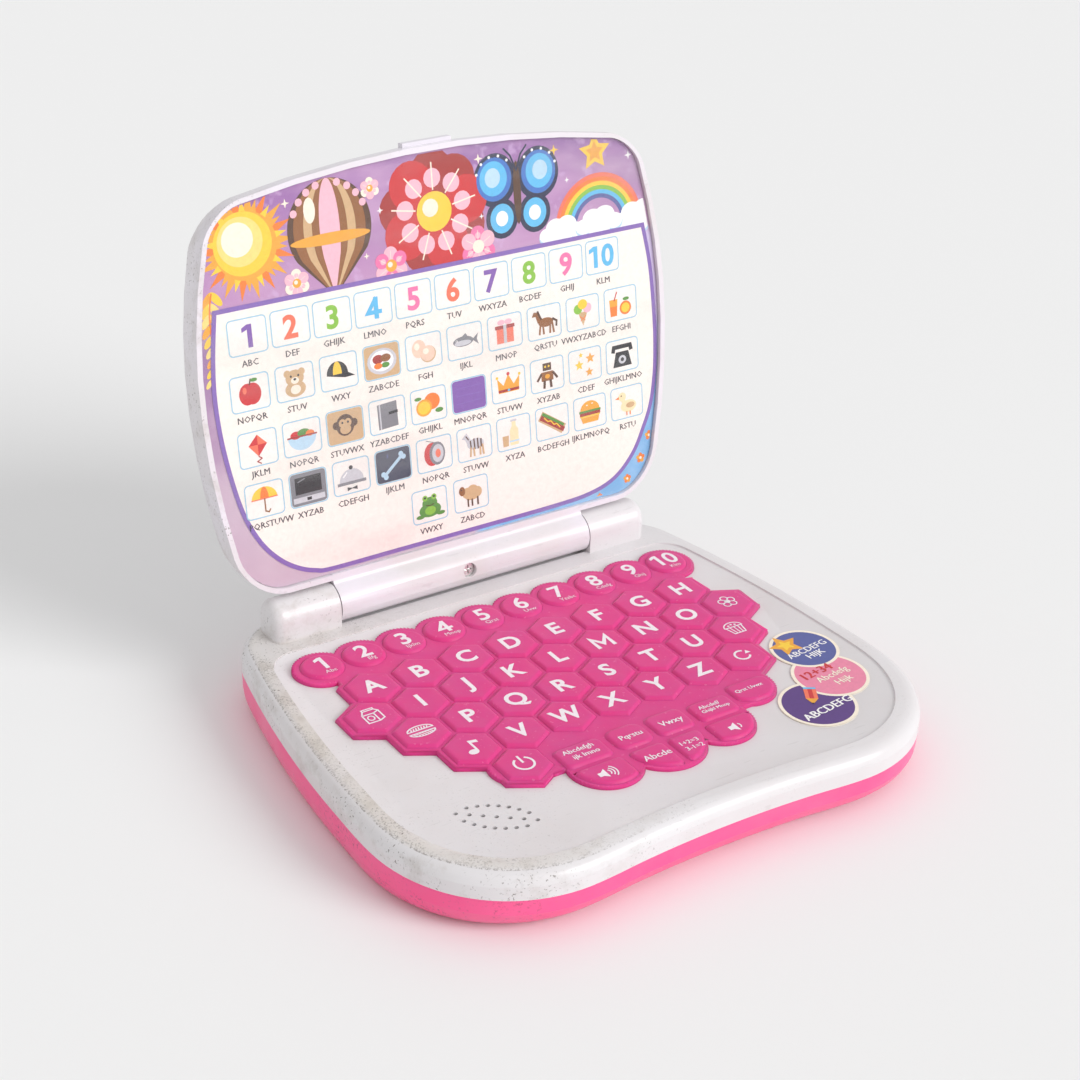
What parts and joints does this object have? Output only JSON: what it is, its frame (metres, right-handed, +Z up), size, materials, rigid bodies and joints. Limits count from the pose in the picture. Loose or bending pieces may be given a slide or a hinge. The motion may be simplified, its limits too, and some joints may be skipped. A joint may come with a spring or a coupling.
{
  "type": "toy laptop computer",
  "caption": "Toy laptop computer with a hinged lid that holds a picture card, a soft honeycomb keypad with sprung keys, a speaker grille and a battery bay.",
  "frame": {"origin": "on the flat underside at table level, in the middle of the case between its sides and between its back and the middle of its front", "axes": "+X to the right of someone at the keys, +Y towards the hinge at the back, +Z up; rest pose is the lid open, leaning 9.3 degrees back"},
  "size_m": [0.1918, 0.1829, 0.1683],
  "materials": {
    "pink_plastic": "glossy moulded plastic, slightly translucent pink",
    "white_plastic": "glossy moulded plastic, slightly lavender white, scuffed",
    "magenta_rubber": "satin moulded silicone",
    "key_rubber": "satin moulded silicone with white printed legends",
    "board": "satin board laminate",
    "black_resin": "satin moulding resin",
    "steel": "plated steel",
    "screw_steel": "plated steel",
    "cone_paper": "pressed paper",
    "cell_jacket": "printed steel jacket",
    "lead_cover": "satin cable covering",
    "sticker_film": "printed film with satin lacquer",
    "printed_card": "printed card",
    "clear_film": "clear glossy sheet"
  },
  "bodies": {
    "case": {"bottom_case": "pink_plastic", "top_case": "white_plastic", "keypad_mat": "magenta_rubber", "circuit_board": "board", "board_parts": "black_resin", "speaker_basket": "steel", "speaker_cone": "cone_paper", "battery_door": "pink_plastic", "batteries": "cell_jacket", "battery_contacts": "steel", "case_screws": "screw_steel", "wires": "lead_cover", "badge_sticker": "sticker_film", "hinge_pins": "steel"},
    "lid": {"lid_back": "white_plastic", "lid_front": "white_plastic", "picture_card": "printed_card", "clear_cover": "clear_film", "lid_screw": "screw_steel"},
    "key_a": {"key_a": "key_rubber"},
    "key_b": {"key_b": "key_rubber"},
    "key_c": {"key_c": "key_rubber"},
    "key_d": {"key_d": "key_rubber"},
    "key_e": {"key_e": "key_rubber"},
    "key_f": {"key_f": "key_rubber"},
    "key_g": {"key_g": "key_rubber"},
    "key_h": {"key_h": "key_rubber"},
    "key_i": {"key_i": "key_rubber"},
    "key_j": {"key_j": "key_rubber"},
    "key_k": {"key_k": "key_rubber"},
    "key_l": {"key_l": "key_rubber"},
    "key_m": {"key_m": "key_rubber"},
    "key_n": {"key_n": "key_rubber"},
    "key_o": {"key_o": "key_rubber"},
    "key_p": {"key_p": "key_rubber"},
    "key_q": {"key_q": "key_rubber"},
    "key_r": {"key_r": "key_rubber"},
    "key_s": {"key_s": "key_rubber"},
    "key_t": {"key_t": "key_rubber"},
    "key_u": {"key_u": "key_rubber"},
    "key_v": {"key_v": "key_rubber"},
    "key_w": {"key_w": "key_rubber"},
    "key_x": {"key_x": "key_rubber"},
    "key_y": {"key_y": "key_rubber"},
    "key_z": {"key_z": "key_rubber"},
    "key_1": {"key_1": "key_rubber"},
    "key_2": {"key_2": "key_rubber"},
    "key_3": {"key_3": "key_rubber"},
    "key_4": {"key_4": "key_rubber"},
    "key_5": {"key_5": "key_rubber"},
    "key_6": {"key_6": "key_rubber"},
    "key_7": {"key_7": "key_rubber"},
    "key_8": {"key_8": "key_rubber"},
    "key_9": {"key_9": "key_rubber"},
    "key_10": {"key_10": "key_rubber"},
    "key_note": {"key_note": "key_rubber"},
    "key_repeat": {"key_repeat": "key_rubber"},
    "key_power": {"key_power": "key_rubber"},
    "key_volume_up": {"key_volume_up": "key_rubber"},
    "key_volume_down": {"key_volume_down": "key_rubber"}
  },
  "joints": [
    {"name": "lid_hinge", "type": "hinge", "parent": "case", "child": "lid", "pos_m": [0, 0.069, 0.0273], "axis": [-1, 0, 0], "range_deg": [-99.8, 12]},
    {"name": "key_a_press", "type": "slide", "parent": "case", "child": "key_a", "axis": [0, 0, 1], "range_m": [-0.0009, 0], "stiffness_N_per_m": 600},
    {"name": "key_b_press", "type": "slide", "parent": "case", "child": "key_b", "axis": [0, 0, 1], "range_m": [-0.0009, 0], "stiffness_N_per_m": 600},
    {"name": "key_c_press", "type": "slide", "parent": "case", "child": "key_c", "axis": [0, 0, 1], "range_m": [-0.0009, 0], "stiffness_N_per_m": 600},
    {"name": "key_d_press", "type": "slide", "parent": "case", "child": "key_d", "axis": [0, 0, 1], "range_m": [-0.0009, 0], "stiffness_N_per_m": 600},
    {"name": "key_e_press", "type": "slide", "parent": "case", "child": "key_e", "axis": [0, 0, 1], "range_m": [-0.0009, 0], "stiffness_N_per_m": 600},
    {"name": "key_f_press", "type": "slide", "parent": "case", "child": "key_f", "axis": [0, 0, 1], "range_m": [-0.0009, 0], "stiffness_N_per_m": 600},
    {"name": "key_g_press", "type": "slide", "parent": "case", "child": "key_g", "axis": [0, 0, 1], "range_m": [-0.0009, 0], "stiffness_N_per_m": 600},
    {"name": "key_h_press", "type": "slide", "parent": "case", "child": "key_h", "axis": [0, 0, 1], "range_m": [-0.0009, 0], "stiffness_N_per_m": 600},
    {"name": "key_i_press", "type": "slide", "parent": "case", "child": "key_i", "axis": [0, 0, 1], "range_m": [-0.0009, 0], "stiffness_N_per_m": 600},
    {"name": "key_j_press", "type": "slide", "parent": "case", "child": "key_j", "axis": [0, 0, 1], "range_m": [-0.0009, 0], "stiffness_N_per_m": 600},
    {"name": "key_k_press", "type": "slide", "parent": "case", "child": "key_k", "axis": [0, 0, 1], "range_m": [-0.0009, 0], "stiffness_N_per_m": 600},
    {"name": "key_l_press", "type": "slide", "parent": "case", "child": "key_l", "axis": [0, 0, 1], "range_m": [-0.0009, 0], "stiffness_N_per_m": 600},
    {"name": "key_m_press", "type": "slide", "parent": "case", "child": "key_m", "axis": [0, 0, 1], "range_m": [-0.0009, 0], "stiffness_N_per_m": 600},
    {"name": "key_n_press", "type": "slide", "parent": "case", "child": "key_n", "axis": [0, 0, 1], "range_m": [-0.0009, 0], "stiffness_N_per_m": 600},
    {"name": "key_o_press", "type": "slide", "parent": "case", "child": "key_o", "axis": [0, 0, 1], "range_m": [-0.0009, 0], "stiffness_N_per_m": 600},
    {"name": "key_p_press", "type": "slide", "parent": "case", "child": "key_p", "axis": [0, 0, 1], "range_m": [-0.0009, 0], "stiffness_N_per_m": 600},
    {"name": "key_q_press", "type": "slide", "parent": "case", "child": "key_q", "axis": [0, 0, 1], "range_m": [-0.0009, 0], "stiffness_N_per_m": 600},
    {"name": "key_r_press", "type": "slide", "parent": "case", "child": "key_r", "axis": [0, 0, 1], "range_m": [-0.0009, 0], "stiffness_N_per_m": 600},
    {"name": "key_s_press", "type": "slide", "parent": "case", "child": "key_s", "axis": [0, 0, 1], "range_m": [-0.0009, 0], "stiffness_N_per_m": 600},
    {"name": "key_t_press", "type": "slide", "parent": "case", "child": "key_t", "axis": [0, 0, 1], "range_m": [-0.0009, 0], "stiffness_N_per_m": 600},
    {"name": "key_u_press", "type": "slide", "parent": "case", "child": "key_u", "axis": [0, 0, 1], "range_m": [-0.0009, 0], "stiffness_N_per_m": 600},
    {"name": "key_v_press", "type": "slide", "parent": "case", "child": "key_v", "axis": [0, 0, 1], "range_m": [-0.0009, 0], "stiffness_N_per_m": 600},
    {"name": "key_w_press", "type": "slide", "parent": "case", "child": "key_w", "axis": [0, 0, 1], "range_m": [-0.0009, 0], "stiffness_N_per_m": 600},
    {"name": "key_x_press", "type": "slide", "parent": "case", "child": "key_x", "axis": [0, 0, 1], "range_m": [-0.0009, 0], "stiffness_N_per_m": 600},
    {"name": "key_y_press", "type": "slide", "parent": "case", "child": "key_y", "axis": [0, 0, 1], "range_m": [-0.0009, 0], "stiffness_N_per_m": 600},
    {"name": "key_z_press", "type": "slide", "parent": "case", "child": "key_z", "axis": [0, 0, 1], "range_m": [-0.0009, 0], "stiffness_N_per_m": 600},
    {"name": "key_1_press", "type": "slide", "parent": "case", "child": "key_1", "axis": [0, 0, 1], "range_m": [-0.0009, 0], "stiffness_N_per_m": 600},
    {"name": "key_2_press", "type": "slide", "parent": "case", "child": "key_2", "axis": [0, 0, 1], "range_m": [-0.0009, 0], "stiffness_N_per_m": 600},
    {"name": "key_3_press", "type": "slide", "parent": "case", "child": "key_3", "axis": [0, 0, 1], "range_m": [-0.0009, 0], "stiffness_N_per_m": 600},
    {"name": "key_4_press", "type": "slide", "parent": "case", "child": "key_4", "axis": [0, 0, 1], "range_m": [-0.0009, 0], "stiffness_N_per_m": 600},
    {"name": "key_5_press", "type": "slide", "parent": "case", "child": "key_5", "axis": [0, 0, 1], "range_m": [-0.0009, 0], "stiffness_N_per_m": 600},
    {"name": "key_6_press", "type": "slide", "parent": "case", "child": "key_6", "axis": [0, 0, 1], "range_m": [-0.0009, 0], "stiffness_N_per_m": 600},
    {"name": "key_7_press", "type": "slide", "parent": "case", "child": "key_7", "axis": [0, 0, 1], "range_m": [-0.0009, 0], "stiffness_N_per_m": 600},
    {"name": "key_8_press", "type": "slide", "parent": "case", "child": "key_8", "axis": [0, 0, 1], "range_m": [-0.0009, 0], "stiffness_N_per_m": 600},
    {"name": "key_9_press", "type": "slide", "parent": "case", "child": "key_9", "axis": [0, 0, 1], "range_m": [-0.0009, 0], "stiffness_N_per_m": 600},
    {"name": "key_10_press", "type": "slide", "parent": "case", "child": "key_10", "axis": [0, 0, 1], "range_m": [-0.0009, 0], "stiffness_N_per_m": 600},
    {"name": "key_note_press", "type": "slide", "parent": "case", "child": "key_note", "axis": [0, 0, 1], "range_m": [-0.0009, 0], "stiffness_N_per_m": 600},
    {"name": "key_repeat_press", "type": "slide", "parent": "case", "child": "key_repeat", "axis": [0, 0, 1], "range_m": [-0.0009, 0], "stiffness_N_per_m": 600},
    {"name": "key_power_press", "type": "slide", "parent": "case", "child": "key_power", "axis": [0, 0, 1], "range_m": [-0.0009, 0], "stiffness_N_per_m": 600},
    {"name": "key_volume_up_press", "type": "slide", "parent": "case", "child": "key_volume_up", "axis": [0, 0, 1], "range_m": [-0.0009, 0], "stiffness_N_per_m": 600},
    {"name": "key_volume_down_press", "type": "slide", "parent": "case", "child": "key_volume_down", "axis": [0, 0, 1], "range_m": [-0.0009, 0], "stiffness_N_per_m": 600}
  ]
}
